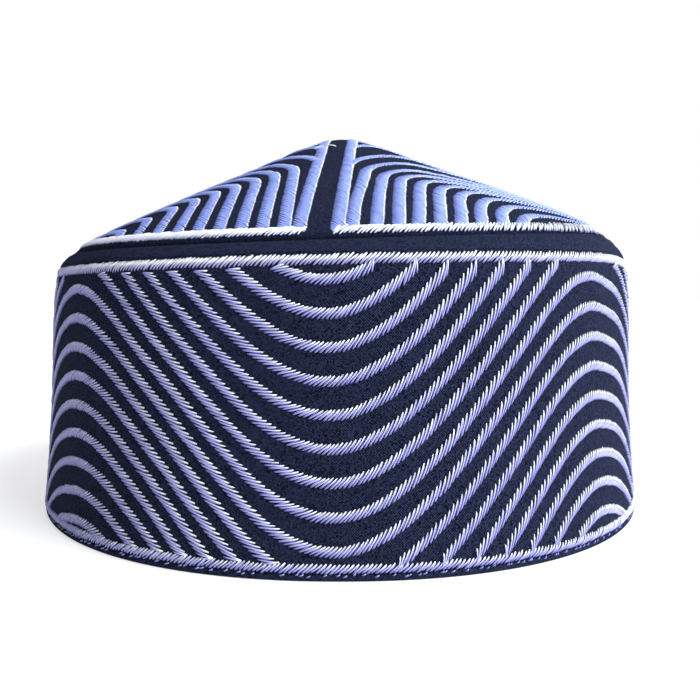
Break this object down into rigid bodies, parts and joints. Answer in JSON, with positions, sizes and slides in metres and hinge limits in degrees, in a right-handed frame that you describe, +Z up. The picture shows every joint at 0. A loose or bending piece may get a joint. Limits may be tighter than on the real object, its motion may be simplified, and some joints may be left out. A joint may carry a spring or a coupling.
{
  "type": "kufi",
  "caption": "Stiff oval cap with a tall side band and a low peaked crown, dark twill covered in raised wavy satin embroidery.",
  "frame": {"origin": "on the surface that the rim stands on, below the middle of the cap", "axes": "+Z up to the crown's tip, -Y out of the front of the cap, +X to the right of someone who looks at its front"},
  "size_m": [0.1828, 0.1974, 0.1111],
  "materials": {
    "twill": "matte",
    "seam_cloth": "matte",
    "thread": "satin"
  },
  "bodies": {
    "root": {"side_band": "twill", "crown_top": "twill", "seam_roll": "seam_cloth", "hem_fold": "seam_cloth"}
  },
  "joints": []
}
